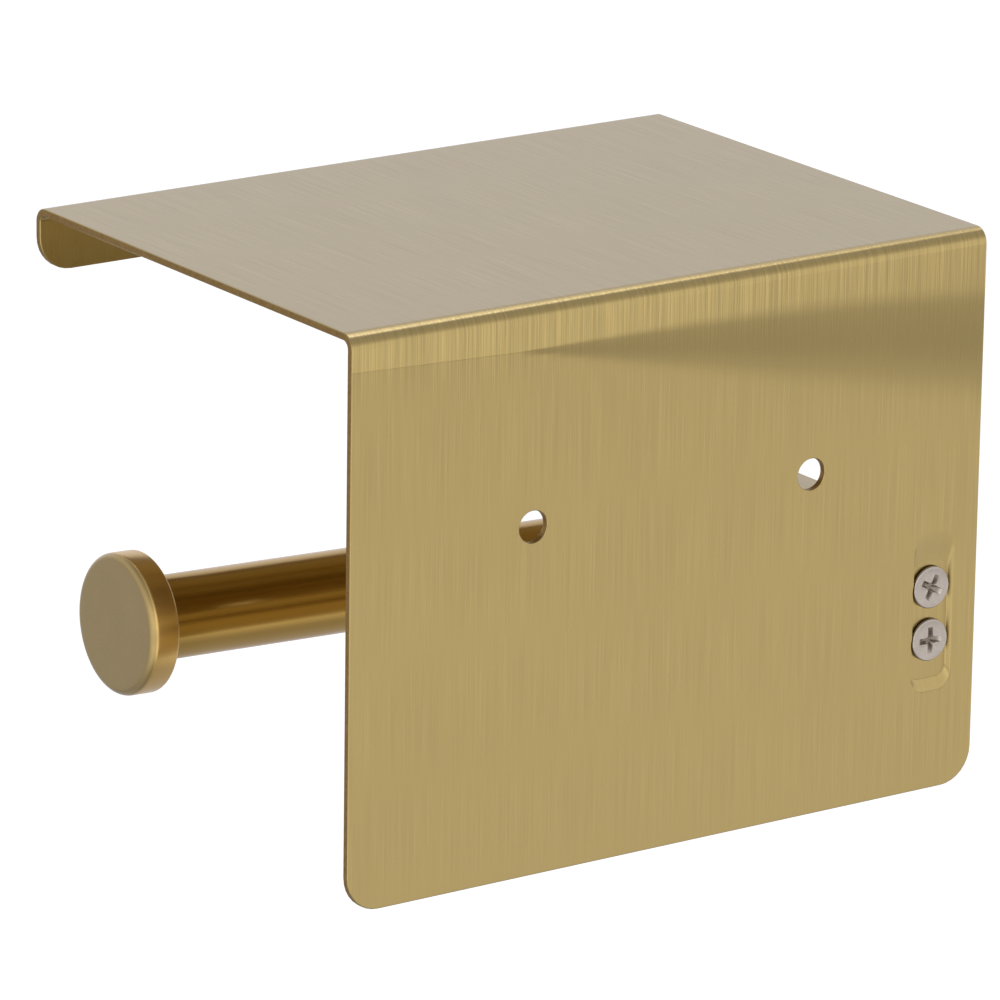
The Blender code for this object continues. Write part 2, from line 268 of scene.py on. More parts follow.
def pocket_ring(share, depth, grow, relief, slant=None):
    """Loop round the pocket, a share of the way from its mouth to its floor."""
    near, far, top, foot, corner = [
        (size[0] + (size[1] - size[0]) * share) * MM + grow
        for size in (POCKET_NEAR, POCKET_FAR, POCKET_TOP, POCKET_FOOT, POCKET_CORNER)
    ]
    arcs = [pi / 2 * k / 8 for k in range(1, 9)]
    high, low = top - corner, corner - foot
    loop = []
    for side, half in ((1, near), (-1, far)):
        half_loop = [(half - corner + corner * cos(t), high + corner * sin(t)) for t in reversed(arcs)]
        half_loop += [(half, high + (low - high) * k / 70) for k in range(71)]
        half_loop += [(half - corner + corner * cos(t), low - corner * sin(t)) for t in arcs]
        if side > 0 and relief:
            middles = [offset - RELIEF_DROP for offset in (SCREW_SPACING / 2, -SCREW_SPACING / 2)]
            half_loop = [(max([x] + [
                sqrt(relief ** 2 - (run - middle) ** 2) for middle in middles if relief > abs(run - middle)
            ]), run) for x, run in half_loop]
        half_loop = [(side * x, run) for x, run in half_loop]
        loop += half_loop if side > 0 else half_loop[::-1]
    return [sheet_point(arm_x + x, pocket_run + run, depth, slant) for x, run in loop]


def pressed_wall(from_depth, grow, relief, side, steps=8):
    """Eased wall from a face of the plate, pressed in by the pocket's depth."""
    rings = []
    for k in range(steps + 1):
        share = k / steps
        eased = share * (0.5 + share * (1.5 - share))
        slant = (0, 0, side) if k in (0, steps) else None
        rings.append(pocket_ring(share, from_depth + POCKET_DEPTH * eased, grow, relief, slant))
    join_rings(sheet, rings)
    return rings[0], rings[-1]


pocket_mouth, pocket_floor = pressed_wall(0, 0, HEAD_RELIEF, -1)
pad_foot, pad_top = pressed_wall(SHEET, PAD_GROWTH, 0, 1)
shank_holes = []
for offset in (SCREW_SPACING / 2, -SCREW_SPACING / 2):
    circle = round_hole(arm_x, pocket_run + offset, SHANK_HOLE, steps=24)
    rear = edge_ring(circle, 0, POCKET_DEPTH, 0, -1)
    front = edge_ring(circle, 0, POCKET_DEPTH + SHEET, 0, 1)
    join_rings(sheet, [rear, front])
    shank_holes.append((rear, front))


def around(loop, place):
    """Whether a place on the sheet lies inside a loop of its vertices."""
    crossings = 0
    for a, b in zip(loop, loop[1:] + loop[:1]):
        (ax, ay), (bx, by) = sheet_places[a], sheet_places[b]
        if (ay > place[1]) != (by > place[1]):
            crossings += place[0] < ax + (bx - ax) * (place[1] - ay) / (by - ay)
    return crossings % 2 == 1


def fill_flat(border, openings, depth, side, spacing):
    """Even triangles between a border and its openings, all of them loops in one flat face."""
    loops = [[vertex.index for vertex in loop] for loop in (border, *openings)]
    used = [index for loop in loops for index in loop]
    places = [Vector(sheet_places[index]) for index in used]
    edges = []
    for loop in loops:
        first = len(edges)
        edges += [(first + k, first + (k + 1) % len(loop)) for k in range(len(loop))]
    spots = []
    low, high = [
        [pick(sheet_places[index][axis] for index in loops[0]) for axis in (0, 1)] for pick in (min, max)
    ]
    for column in range(1, int((high[0] - low[0]) / spacing) + 1):
        for row in range(1, int((high[1] - low[1]) / spacing) + 1):
            spot = Vector((low[0] + column * spacing, low[1] + row * spacing))
            clear = all((spot - place).length > spacing * 0.6 for place in places)
            if clear and around(loops[0], spot) and not any(around(loop, spot) for loop in loops[1:]):
                spots.append(spot)
    points, _, triangles, *_ = delaunay_2d_cdt(places + spots, edges, [], 0, 1e-7)
    vertices = [sheet_vertices[index] for index in used]
    vertices += [flat_point(spot.x, spot.y, depth, side) for spot in points[len(used):]]
    for triangle in triangles:
        middle = sum((points[k] for k in triangle), Vector((0, 0))) / 3
        if around(loops[0], middle) and not any(around(loop, middle) for loop in loops[1:]):
            sheet.faces.new([vertices[k] for k in triangle])


MOVED_ROWS = 18  # mm below the bend
MOST_MOVED = 1.42
MOVE_FADE = 8  # mm per width, so that the rows meet the edge on the arm's side where they started


def follow_shoulder(x, run):
    """Slides the inner spots of a row, so that the rows run along the end of the shoulder."""
    below = (plate_run - run) / MM
    if not 0 < below < MOVED_ROWS:
        return run
    across = 0.5 - x / (2 * half_width)
    line = SHOULDER_END + min(SHOULDER_DRIFT * across, MOST_MOVED, MOVE_FADE * (1 - across))
    if below < SHOULDER_END:
        return plate_run - below * line / SHOULDER_END * MM
    squeeze = (MOVED_ROWS - line) / (MOVED_ROWS - SHOULDER_END)
    return plate_run - (MOVED_ROWS - (MOVED_ROWS - below) * squeeze) * MM


PLATE_SPOTS = 7 * MM
POCKET_SPOTS = 1.5 * MM
corner_points = CORNER_STEPS + 1
for face, ring in enumerate(outline_rings):
    depth, side = ((0, -1), (SHEET, 1))[face]
    first = corner_points
    left = ring[first:first + len(rows)]
    last = len(ring) - corner_points - len(rows)
    right = list(reversed(ring[last:last + len(rows)]))
    grid = []
    for k, run in enumerate(rows):
        inner = [flat_point(x, follow_shoulder(x, run), depth, side) for x in columns]
        grid.append([right[k], *inner, left[k]])
    join_rings(sheet, grid, closed=False)
    foot = ring[-corner_points:] + ring[:corner_points] + grid[0][::-1]
    openings = [hole[face] for hole in holes] + [(pocket_mouth, pad_foot)[face]]
    fill_flat(foot, openings, depth, side, PLATE_SPOTS)
    lip_end = ring[first + len(rows):last]
    fill_flat(lip_end + grid[-1], [], depth, side, PLATE_SPOTS)
fill_flat(pocket_floor, [hole[0] for hole in shank_holes], POCKET_DEPTH, -1, POCKET_SPOTS)
fill_flat(pad_top, [hole[1] for hole in shank_holes], POCKET_DEPTH + SHEET, 1, POCKET_SPOTS)


def finish_mesh(name, bm):
    """Smooth-shaded object from a mesh that is built."""
    bmesh.ops.recalc_face_normals(bm, faces=bm.faces)
    mesh = bpy.data.meshes.new(name)
    bm.normal_update()
    bm.to_mesh(mesh)
    bm.free()
    mesh.shade_smooth()
    made = bpy.data.objects.new(name, mesh)
    bpy.context.scene.collection.objects.link(made)
    return made


brass_sheet = finish_mesh("brass_sheet", sheet)
mesh = brass_sheet.data
uv = mesh.uv_layers.new(name="grain")
for loop in mesh.loops:
    uv.data[loop.index].uv = sheet_places[loop.vertex_index]
mesh.normals_split_custom_set_from_vertices([
    given.normalized() if given else vertex.normal for given, vertex in zip(sheet_normals, mesh.vertices)
])


def linear(hex_colour):
    """sRGB hex to linear RGBA."""
    shares = [int(hex_colour[k:k + 2], 16) / 255 for k in (1, 3, 5)]
    return (*[s / 12.92 if s <= 0.04045 else ((s + 0.055) / 1.055) ** 2.4 for s in shares], 1)


def add(tree, kind, inputs=None, **settings):
    """Node with its settings; each input is a value or the socket that feeds it."""
    made = tree.nodes.new(kind)
    for name, value in settings.items():
        setattr(made, name, value)
    for name, value in (inputs or {}).items():
        if isinstance(value, bpy.types.NodeSocket):
            tree.links.new(value, made.inputs[name])
        else:
            made.inputs[name].default_value = value
    return made


def new_material(name):
    """Material with its node tree and its shader."""
    material = bpy.data.materials.new(name)
    material.use_nodes = True
    return material, material.node_tree, material.node_tree.nodes["Principled BSDF"]


def brushed_brass_plating(name, light, dark, roughness, lacquer, grain_depth, bend_at=None):
    """Brushed, plated and lacquered metal; the mesh's UV holds metres across and along the grain.

    Abrasive belts leave straight scratches that smear a reflection sideways and keep it sharp
    along the grain. The real scratches are about 0.05 mm wide; they are drawn 0.2 mm wide to show.
    """
    material, tree, shader = new_material(name)
    place = add(tree, "ShaderNodeUVMap", uv_map="grain").outputs["UV"]
    noises = []
    for width, length, detail in ((0.22, 24, 3), (0.9, 50, 2), (16, 34, 2)):
        per_metre = (1 / (width * MM), 1 / (length * MM), 1)
        scaled = add(tree, "ShaderNodeVectorMath", {0: place, 1: per_metre}, operation="MULTIPLY").outputs[0]
        noises.append(add(tree, "ShaderNodeTexNoise", {"Vector": scaled, "Scale": 1, "Detail": detail},
                          noise_dimensions="2D").outputs["Fac"])
    scratches, bands, patches = noises
    both = add(tree, "ShaderNodeMix", {0: 0.12, 2: scratches, 3: bands}).outputs[0]
    relief = add(tree, "ShaderNodeMath", {0: both, 1: 0.5}, operation="SUBTRACT").outputs[0]
    if bend_at is None:
        strength = grain_depth
    else:
        # The scratches are the grain; their much stronger contrast in a ragged zone just below the bend is
        # painted reflection, standing in for the light and dark that the grain reflects there
        sides = add(tree, "ShaderNodeSeparateXYZ", {0: place})
        along = sides.outputs["Y"]
        ragged = add(tree, "ShaderNodeMath", {0: both, 1: 14 * MM, 2: along},
                     operation="MULTIPLY_ADD").outputs[0]
        slanted = add(tree, "ShaderNodeMath", {0: sides.outputs["X"], 1: -0.055, 2: ragged},
                      operation="MULTIPLY_ADD").outputs[0]
        below = add(tree, "ShaderNodeMapRange", {
            "Value": slanted, "From Min": bend_at - 12 * MM, "From Max": bend_at + 5 * MM,
            "To Min": grain_depth * 0.5, "To Max": 1.4,
        }, interpolation_type="SMOOTHSTEP").outputs["Result"]
        strength = add(tree, "ShaderNodeMapRange", {
            "Value": along, "From Min": bend_at, "From Max": bend_at + 5 * MM,
            "To Min": below, "To Max": grain_depth,
        }).outputs["Result"]
    shade = add(tree, "ShaderNodeMath", {0: relief, 1: strength, 2: 0.5}, operation="MULTIPLY_ADD",
                use_clamp=True).outputs[0]
    shade = add(tree, "ShaderNodeMix", {0: 0.06, 2: shade, 3: patches}).outputs[0]
    colour = add(tree, "ShaderNodeMix", {0: shade, 6: linear(dark), 7: linear(light)}, data_type="RGBA")
    rough = add(tree, "ShaderNodeMapRange", {
        "Value": both, "From Min": 0.25, "From Max": 0.75,
        "To Min": roughness + 0.05, "To Max": roughness - 0.05,
    })
    bump = add(tree, "ShaderNodeBump", {"Height": relief, "Strength": 0.12, "Distance": 0.02 * MM})
    tangent = add(tree, "ShaderNodeTangent", direction_type="UV_MAP", uv_map="grain")
    tree.links.new(colour.outputs[2], shader.inputs["Base Color"])
    tree.links.new(rough.outputs["Result"], shader.inputs["Roughness"])
    tree.links.new(bump.outputs["Normal"], shader.inputs["Normal"])
    tree.links.new(tangent.outputs["Tangent"], shader.inputs["Tangent"])
    shader.inputs["Metallic"].default_value = 1
    shader.inputs["Anisotropic"].default_value = 0.8
    shader.inputs["Coat Weight"].default_value = lacquer
    shader.inputs["Coat Roughness"].default_value = 0.25
    return material


def sheared_edge_plating(name, light, dark):
    """Edge left by the guillotine and plated over: duller and darker, with marks 0.7 mm apart."""
    material, tree, shader = new_material(name)
    place = add(tree, "ShaderNodeTexCoord").outputs["Object"]
    marks = add(tree, "ShaderNodeTexNoise", {
        "Vector": place, "Scale": 1 / (0.7 * MM), "Detail": 4,
    }).outputs["Fac"]
    colour = add(tree, "ShaderNodeMix", {0: marks, 6: linear(dark), 7: linear(light)}, data_type="RGBA")
    rough = add(tree, "ShaderNodeMapRange", {"Value": marks, "To Min": 0.6, "To Max": 0.4})
    bump = add(tree, "ShaderNodeBump", {"Height": marks, "Strength": 0.3, "Distance": 0.05 * MM})
    tree.links.new(colour.outputs[2], shader.inputs["Base Color"])
    tree.links.new(rough.outputs["Result"], shader.inputs["Roughness"])
    tree.links.new(bump.outputs["Normal"], shader.inputs["Normal"])
    shader.inputs["Metallic"].default_value = 1
    return material


mesh.materials.append(brushed_brass_plating(
    "brushed_brass_plated_sheet", "#cdb270", "#938050", 0.31, 0.6, 0.4, bend_at=plate_run))
mesh.materials.append(sheared_edge_plating("sheared_brass_plated_edge", "#b8955a", "#8a6c3a"))
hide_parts("folded_sheet")
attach(brass_sheet, "root")


# ---------------------------------------------------------------- arm
# Flat brass-plated bar, 8 mm thick, brushed along its length, with its corners broken and its
# front end rounded. Two screws through the plate hold it; the roll bar sits in its socket.

ARM_THICKNESS = 8 * MM
NOSE_RADIUS = 11 * MM
ARM_EDGE = 0.6 * MM
BAR_SLOPE = radians(2)
BAR_RADIUS = 8 * MM
SOCKET_DEPTH = 2 * MM
SCREW_LENGTH = 15 * MM
FIXING_HEAD = 4.6 * MM  # radius of the countersunk head
FIXING_CONE = 2.1 * MM
FIXING_SHANK = 2.5 * MM
CLEARANCE = 0.3 * MM
PAST = 2 * MM  # how far a cutter runs past the face it opens

bar_low, bar_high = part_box("roll_bar")
cap_low, cap_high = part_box("end_cap")
arm_inner = arm_high.x
bar_y = (bar_low.y + bar_high.y) / 2
cap_middle = Vector(((cap_low.x + cap_high.x) / 2, bar_y, (cap_low.z + cap_high.z) / 2))
bar_axis = Vector((cos(BAR_SLOPE), 0, sin(BAR_SLOPE)))
bar_root = cap_middle - bar_axis * ((cap_middle.x - arm_inner) / cos(BAR_SLOPE))
along_bar = Matrix.Translation(bar_root) @ Matrix.Rotation(-BAR_SLOPE, 4, "Y")


def turned(profile, steps=96, closed=False):
    """Body turned about +X from (along, radius) points, with its grain mapped along the axis."""
    bm = bmesh.new()
    grain = bm.loops.layers.uv.new("grain")
    rings = []
    for along, radius in profile:
        count = steps if radius > 0 else 1
        turns = [2 * pi * k / steps for k in range(count)]
        rings.append([bm.verts.new((along, radius * cos(t), radius * sin(t))) for t in turns])
    pairs = list(zip(range(len(rings)), range(1, len(rings))))
    if closed:
        pairs.append((len(rings) - 1, 0))
    for a, b in pairs:
        first, second = rings[a], rings[b]
        for k in range(steps):
            after = (k + 1) % steps
            corners = [(first[k % len(first)], a, k), (first[after % len(first)], a, k + 1),
                       (second[after % len(second)], b, k + 1), (second[k % len(second)], b, k)]
            kept = {corner[0]: corner for corner in reversed(corners)}
            corners = [corner for corner in corners if kept[corner[0]] is corner]
            face = bm.faces.new([corner[0] for corner in corners])
            for loop, (_, ring, turn) in zip(face.loops, corners):
                radius = max(profile[ring][1], MM)
                loop[grain].uv = (2 * pi * turn / steps * radius, profile[ring][0])
    return bm


def arc(centre_along, centre_radius, radius, start, end, steps):
    """Points of a turned corner, from one angle to another in degrees."""
    points = []
    for k in range(steps + 1):
        turn = radians(start + (end - start) * k / steps)
        points.append((centre_along + radius * cos(turn), centre_radius + radius * sin(turn)))
    return points


def helper(name, bm, matrix):
    """Cutter that is never shown."""
    cutter = finish_mesh(name, bm)
    cutter.matrix_world = matrix
    cutter.hide_render = True
    cutter.hide_viewport = True
    return cutter


def cut(target, cutter):
    """Takes a cutter's shape out of an object."""
    boolean = target.modifiers.new(cutter.name, "BOOLEAN")
    boolean.operation = "DIFFERENCE"
    boolean.solver = "EXACT"
    boolean.object = cutter


def round_edges(target, width, segments, angle):
    """Rounds the edges that are sharper than an angle in degrees."""
    bevel = target.modifiers.new("rounded_edges", "BEVEL")
    bevel.width = width
    bevel.segments = segments
    bevel.limit_method = "ANGLE"
    bevel.angle_limit = radians(angle)
    bevel.harden_normals = False
    smooth = target.modifiers.new("even_shading", "WEIGHTED_NORMAL")
    smooth.keep_sharp = True
    smooth.weight = 80


def bake_modifiers(target):
    """Turns the object's modifiers into its mesh and drops its cutters."""
    bpy.context.view_layer.update()
    depsgraph = bpy.context.evaluated_depsgraph_get()
    made = bpy.data.meshes.new_from_object(target.evaluated_get(depsgraph))
    cutters = [modifier.object for modifier in target.modifiers if modifier.type == "BOOLEAN"]
    target.modifiers.clear()
    target.data = made
    for cutter in cutters:
        bpy.data.objects.remove(cutter)


def grain_map(target, across, along):
    """UV in metres, across and along the brushing, from the mesh's own coordinates."""
    layers = target.data.uv_layers
    grain = layers.get("grain") or layers.new(name="grain")
    for loop in target.data.loops:
        place = target.data.vertices[loop.vertex_index].co
        grain.data[loop.index].uv = (place.dot(Vector(across)), place.dot(Vector(along)))


arm = bmesh.new()
profile = [(arm_high.y, arm_low.z), (arm_high.y, arm_high.z)]
nose_y = arm_low.y + NOSE_RADIUS
profile += [(nose_y - along, arm_high.z - NOSE_RADIUS + up)
            for up, along in arc(0, 0, NOSE_RADIUS, 0, 90, 16)]
profile += [(nose_y - along, arm_low.z + NOSE_RADIUS - up)
            for along, up in arc(0, 0, NOSE_RADIUS, 0, 90, 16)]
join_rings(arm, [[arm.verts.new((x, y, z)) for y, z in profile] for x in (arm_low.x, arm_high.x)])
for side in (arm_low.x, arm_high.x):
    arm.faces.new([v for v in arm.verts if abs(v.co.x - side) < 0.1 * MM])
brass_arm = finish_mesh("brass_arm", arm)

socket_radius = BAR_RADIUS + CLEARANCE
socket = turned([(-SOCKET_DEPTH, 0), (-SOCKET_DEPTH, socket_radius), (PAST, socket_radius), (PAST, 0)])
cut(brass_arm, helper("socket", socket, along_bar))
seat = -ARM_THICKNESS + 4 * CLEARANCE
sunk_head, passage = FIXING_HEAD + CLEARANCE, FIXING_SHANK + CLEARANCE
countersink = turned([
    (seat - 3 * MM, 0), (seat - 3 * MM, sunk_head), (seat, sunk_head),
    (seat + FIXING_CONE, passage), (MM, passage), (MM, 0),
], steps=64)
cut(brass_arm, helper("countersink", countersink, along_bar))
into_arm = Matrix.Rotation(-pi / 2, 4, "Z")
hole_end = SCREW_LENGTH + 2 * MM
for offset in (SCREW_SPACING / 2, -SCREW_SPACING / 2):
    thread = turned([(-MM, 0), (-MM, SHANK_HOLE), (hole_end, SHANK_HOLE), (hole_end, 0)], steps=32)
    mouth = Matrix.Translation((arm_x, arm_high.y, arm_z + offset))
    cut(brass_arm, helper("thread", thread, mouth @ into_arm))
round_edges(brass_arm, ARM_EDGE, 4, 40)
bake_modifiers(brass_arm)
grain_map(brass_arm, (0.3, 0, 1), (0, 1, 0))
brass_arm.data.materials.append(brushed_brass_plating(
    "brushed_brass_plated_arm", "#cdb270", "#938050", 0.31, 0.6, 0.5))
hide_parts("arm")
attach(brass_arm, "root")


# ---------------------------------------------------------------- arm screws
# Two M4 machine screws, cold-headed from steel wire and nickel plated, with low flat heads and
# a cross recess. They pass through the pocket from behind and draw the arm onto the plate.

HEAD_RADIUS = 4.2 * MM
HEAD_THICKNESS = 0.7 * MM
SHANK = 2 * MM
HEAD_RIM = 0.32 * MM
THREAD_PITCH = 0.7 * MM
THREAD_DEPTH = 0.35 * MM
UPPER_TURN = radians(28)  # how far the upper screw's recess is turned
# Cross recess, from above its mouth to its floor: depth, reach, half-width and inner corner in mm
RECESS = ((-0.6, 3.4, 0.78, 0.6), (0, 2.65, 0.62, 0.5), (0.9, 1.5, 0.4, 0.35), (1.15, 0.8, 0.25, 0.18))


def nickel_plate(name, light, dark):
    """Bright nickel on cold-headed steel: smooth and mirror-like, with faint marks from tumbling."""
    material, tree, shader = new_material(name)
    place = add(tree, "ShaderNodeTexCoord").outputs["Object"]
    marks = add(tree, "ShaderNodeTexNoise", {"Vector": place, "Scale": 1 / (0.8 * MM), "Detail": 4})
    clouds = add(tree, "ShaderNodeTexNoise", {"Vector": place, "Scale": 1 / (3 * MM), "Detail": 1})
    plated = add(tree, "ShaderNodeMix", {0: clouds.outputs["Fac"], 6: linear(dark), 7: linear(light)},
                 data_type="RGBA").outputs[2]
    # Painted shade: the recess and the side under the rim are drawn a darker grey, and rougher, the deeper
    # they lie below the head's top
    depth = add(tree, "ShaderNodeSeparateXYZ", {0: place}).outputs["X"]
    sunk = add(tree, "ShaderNodeMapRange", {
        "Value": depth, "From Min": 0.1 * MM, "From Max": 0.7 * MM,
    }, interpolation_type="SMOOTHSTEP").outputs["Result"]
    colour = add(tree, "ShaderNodeMix", {0: sunk, 6: plated, 7: linear("#a3978c")}, data_type="RGBA")
    rough = add(tree, "ShaderNodeMapRange", {
        "Value": marks.outputs["Fac"], "From Min": 0.3, "From Max": 0.7, "To Min": 0.24, "To Max": 0.38,
    }).outputs["Result"]
    rough = add(tree, "ShaderNodeMath", {0: sunk, 1: 0.25, 2: rough}, operation="MULTIPLY_ADD")
    bump = add(tree, "ShaderNodeBump", {
        "Height": marks.outputs["Fac"], "Strength": 0.15, "Distance": 0.02 * MM,
    })
    tree.links.new(colour.outputs[2], shader.inputs["Base Color"])
    tree.links.new(rough.outputs["Value"], shader.inputs["Roughness"])
    tree.links.new(bump.outputs["Normal"], shader.inputs["Normal"])
    shader.inputs["Metallic"].default_value = 1
    return material


def cross_outline(reach, half, corner, steps=5):
    """Four-winged recess with its inner corners rounded, as (y, z) points."""
    points = []
    for quarter in range(4):
        turn = Matrix.Rotation(pi / 2 * quarter, 2)
        wing = [Vector((reach, -half)), Vector((reach, half))]
        middle = half + corner
        for k in range(steps + 1):
            angle = -pi / 2 - pi / 2 * k / steps
            wing.append(Vector((middle, middle)) + corner * Vector((cos(angle), sin(angle))))
        points += [turn @ point for point in wing]
    return points


def cross_recess():
    """Recess cutter for a driver point, mouth at x = 0, tapering to +X."""
    bm = bmesh.new()
    rings = []
    for depth, reach, half, corner in RECESS:
        outline = cross_outline(reach * MM, half * MM, corner * MM)
        rings.append([bm.verts.new((depth * MM, p.x, p.y)) for p in outline])
    join_rings(bm, rings)
    bm.faces.new(rings[0])
    bm.faces.new(rings[-1])
    return bm


nickel = nickel_plate("nickel_plated_steel", "#c5bbb2", "#b5aba2")
for name, side in (("upper", 1), ("lower", -1)):
    low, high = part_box(f"arm_screw_{name}")
    head_y, screw_z = high.y, arm_z + side * SCREW_SPACING / 2
    profile = [(0, 0), (0, 1.2 * MM), (0.02 * MM, 2.8 * MM), (0.06 * MM, HEAD_RADIUS - 1.4 * HEAD_RIM)]
    profile += arc(0.08 * MM + HEAD_RIM, HEAD_RADIUS - HEAD_RIM, HEAD_RIM, 180, 90, 6)
    profile += [(HEAD_THICKNESS - 0.1 * MM, HEAD_RADIUS), (HEAD_THICKNESS, HEAD_RADIUS - 0.1 * MM)]
    profile += [(HEAD_THICKNESS, SHANK)]
    turns = int((SCREW_LENGTH - 2.5 * MM) / THREAD_PITCH)
    for k in range(turns):
        start = HEAD_THICKNESS + MM + k * THREAD_PITCH
        profile += [(start, SHANK - THREAD_DEPTH)]
        profile += [(start + THREAD_PITCH * share, SHANK) for share in (0.45, 0.55)]
    tip = HEAD_THICKNESS + SCREW_LENGTH
    profile += [(tip - MM, SHANK - 0.4 * MM), (tip, SHANK / 2), (tip, 0)]
    screw = finish_mesh(f"nickel_screw_{name}", turned(profile, steps=72))
    driven = Matrix.Rotation(UPPER_TURN if side > 0 else 0, 4, "X")
    pose = Matrix.Translation((arm_x, head_y, screw_z)) @ into_arm @ driven
    screw.matrix_world = pose
    cut(screw, helper(f"recess_{name}", cross_recess(), pose))
    round_edges(screw, 0.1 * MM, 2, 30)
    bake_modifiers(screw)
    screw.data.materials.append(nickel)
    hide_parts(f"arm_screw_{name}")
    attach(screw, "root")


# ---------------------------------------------------------------- roll bar
# Drawn tube, 16 mm across with a 1.5 mm wall, polished more finely than the sheet and plated.
# Its root stands in the arm's socket and it rises 2 degrees towards its free end.

TUBE_WALL = 1.5 * MM
bar_end = (bar_high.x - bar_root.x - BAR_RADIUS * sin(BAR_SLOPE)) / cos(BAR_SLOPE)
bar_start = -SOCKET_DEPTH + CLEARANCE
soft = 0.25 * MM
inner = BAR_RADIUS - TUBE_WALL
tube = arc(bar_start + soft, BAR_RADIUS - soft, soft, 180, 90, 4)
tube += [(bar_start + (bar_end - bar_start) * k / 12, BAR_RADIUS) for k in range(1, 12)]
tube += arc(bar_end - soft, BAR_RADIUS - soft, soft, 90, 0, 4)
tube += [(bar_end, inner), (bar_start, inner)]
brass_bar = finish_mesh("brass_roll_bar", turned(tube, closed=True))
brass_bar.matrix_world = along_bar
brass_bar.data.set_sharp_from_angle(angle=radians(50))


def satin_brass_plating(name, light, dark, roughness, lacquer):
    """Fine polished and plated metal: close to a soft mirror, with faint lines along it.

    The lines are drawn 0.3 mm wide, coarser than real ones, so that they show.
    """
    material, tree, shader = new_material(name)
    place = add(tree, "ShaderNodeUVMap", uv_map="grain").outputs["UV"]
    noises = []
    for width, length, detail in ((0.3, 60, 2), (6, 20, 2)):
        per_metre = (1 / (width * MM), 1 / (length * MM), 1)
        scaled = add(tree, "ShaderNodeVectorMath", {0: place, 1: per_metre}, operation="MULTIPLY").outputs[0]
        noises.append(add(tree, "ShaderNodeTexNoise", {"Vector": scaled, "Scale": 1, "Detail": detail},
                          noise_dimensions="2D").outputs["Fac"])
    lines, patches = noises
    shade = add(tree, "ShaderNodeMix", {0: 0.3, 2: lines, 3: patches}).outputs[0]
    colour = add(tree, "ShaderNodeMix", {0: shade, 6: linear(dark), 7: linear(light)}, data_type="RGBA")
    rough = add(tree, "ShaderNodeMapRange", {
        "Value": shade, "From Min": 0.3, "From Max": 0.7,
        "To Min": roughness + 0.04, "To Max": roughness - 0.04,
    })
    bump = add(tree, "ShaderNodeBump", {"Height": lines, "Strength": 0.12, "Distance": 0.02 * MM})
    tangent = add(tree, "ShaderNodeTangent", direction_type="UV_MAP", uv_map="grain")
    tree.links.new(colour.outputs[2], shader.inputs["Base Color"])
    tree.links.new(rough.outputs["Result"], shader.inputs["Roughness"])
    tree.links.new(bump.outputs["Normal"], shader.inputs["Normal"])
    tree.links.new(tangent.outputs["Tangent"], shader.inputs["Tangent"])
    shader.inputs["Metallic"].default_value = 1
    shader.inputs["Anisotropic"].default_value = 0.4
    shader.inputs["Coat Weight"].default_value = lacquer
    shader.inputs["Coat Roughness"].default_value = 0.1
    return material


brass_bar.data.materials.append(satin_brass_plating(
    "satin_brass_plated_tube", "#c9a459", "#bf9a53", 0.21, 0.1))
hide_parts("roll_bar")
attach(brass_bar, "root")


# ---------------------------------------------------------------- end cap
# Solid disc turned from bar, plated to match, with a well rounded rim so that the roll slips
# over it. It screws onto a stud in the end of the tube.

CAP_RADIUS = 13.5 * MM
CAP_THICKNESS = 6 * MM
CAP_RIM = 1.5 * MM
CAP_BACK_RIM = 0.5 * MM
STUD_BORE = 3.3 * MM
STUD_REACH = 3.8 * MM
BORE_CHAMFER = 0.2 * MM
cap_back = bar_end + CLEARANCE
cap_face = cap_back + CAP_THICKNESS
cap = [(cap_back + STUD_REACH, 0), (cap_back + STUD_REACH, STUD_BORE)]
cap += [(cap_back + BORE_CHAMFER, STUD_BORE), (cap_back, STUD_BORE + BORE_CHAMFER)]
cap += arc(cap_back + CAP_BACK_RIM, CAP_RADIUS - CAP_BACK_RIM, CAP_BACK_RIM, 180, 90, 5)
cap += arc(cap_face - CAP_RIM, CAP_RADIUS - CAP_RIM, CAP_RIM, 90, 0, 12)
cap += [(cap_face, CAP_RADIUS * share) for share in (0.8, 0.6, 0.4, 0.2)] + [(cap_face, 0)]
brass_cap = finish_mesh("brass_end_cap", turned(cap))
brass_cap.matrix_world = along_bar
brass_cap.data.set_sharp_from_angle(angle=radians(50))


def blasted_brass_plating(name, light, dark, roughness, lacquer):
    """Turned disc, lightly blasted and plated: an even, matt face, with faint lines along its side.

    The grit's dimples are drawn 0.35 mm wide, coarser than real ones, so that they show.
    """
    material, tree, shader = new_material(name)
    place = add(tree, "ShaderNodeTexCoord").outputs["Object"]
    per_metre = (1 / (8 * MM), 1 / (0.35 * MM), 1 / (0.35 * MM))
    scaled = add(tree, "ShaderNodeVectorMath", {0: place, 1: per_metre}, operation="MULTIPLY").outputs[0]
    grit = add(tree, "ShaderNodeTexNoise", {"Vector": scaled, "Scale": 1, "Detail": 2}).outputs["Fac"]
    clouds = add(tree, "ShaderNodeTexNoise", {
        "Vector": place, "Scale": 1 / (7 * MM), "Detail": 2,
    }).outputs["Fac"]
    shade = add(tree, "ShaderNodeMix", {0: 0.4, 2: grit, 3: clouds}).outputs[0]
    colour = add(tree, "ShaderNodeMix", {0: shade, 6: linear(dark), 7: linear(light)}, data_type="RGBA")
    rough = add(tree, "ShaderNodeMapRange", {
        "Value": shade, "From Min": 0.3, "From Max": 0.7,
        "To Min": roughness + 0.03, "To Max": roughness - 0.03,
    })
    bump = add(tree, "ShaderNodeBump", {"Height": grit, "Strength": 0.1, "Distance": 0.02 * MM})
    tree.links.new(colour.outputs[2], shader.inputs["Base Color"])
    tree.links.new(rough.outputs["Result"], shader.inputs["Roughness"])
    tree.links.new(bump.outputs["Normal"], shader.inputs["Normal"])
    shader.inputs["Metallic"].default_value = 1
    shader.inputs["Coat Weight"].default_value = lacquer
    shader.inputs["Coat Roughness"].default_value = 0.3
    return material


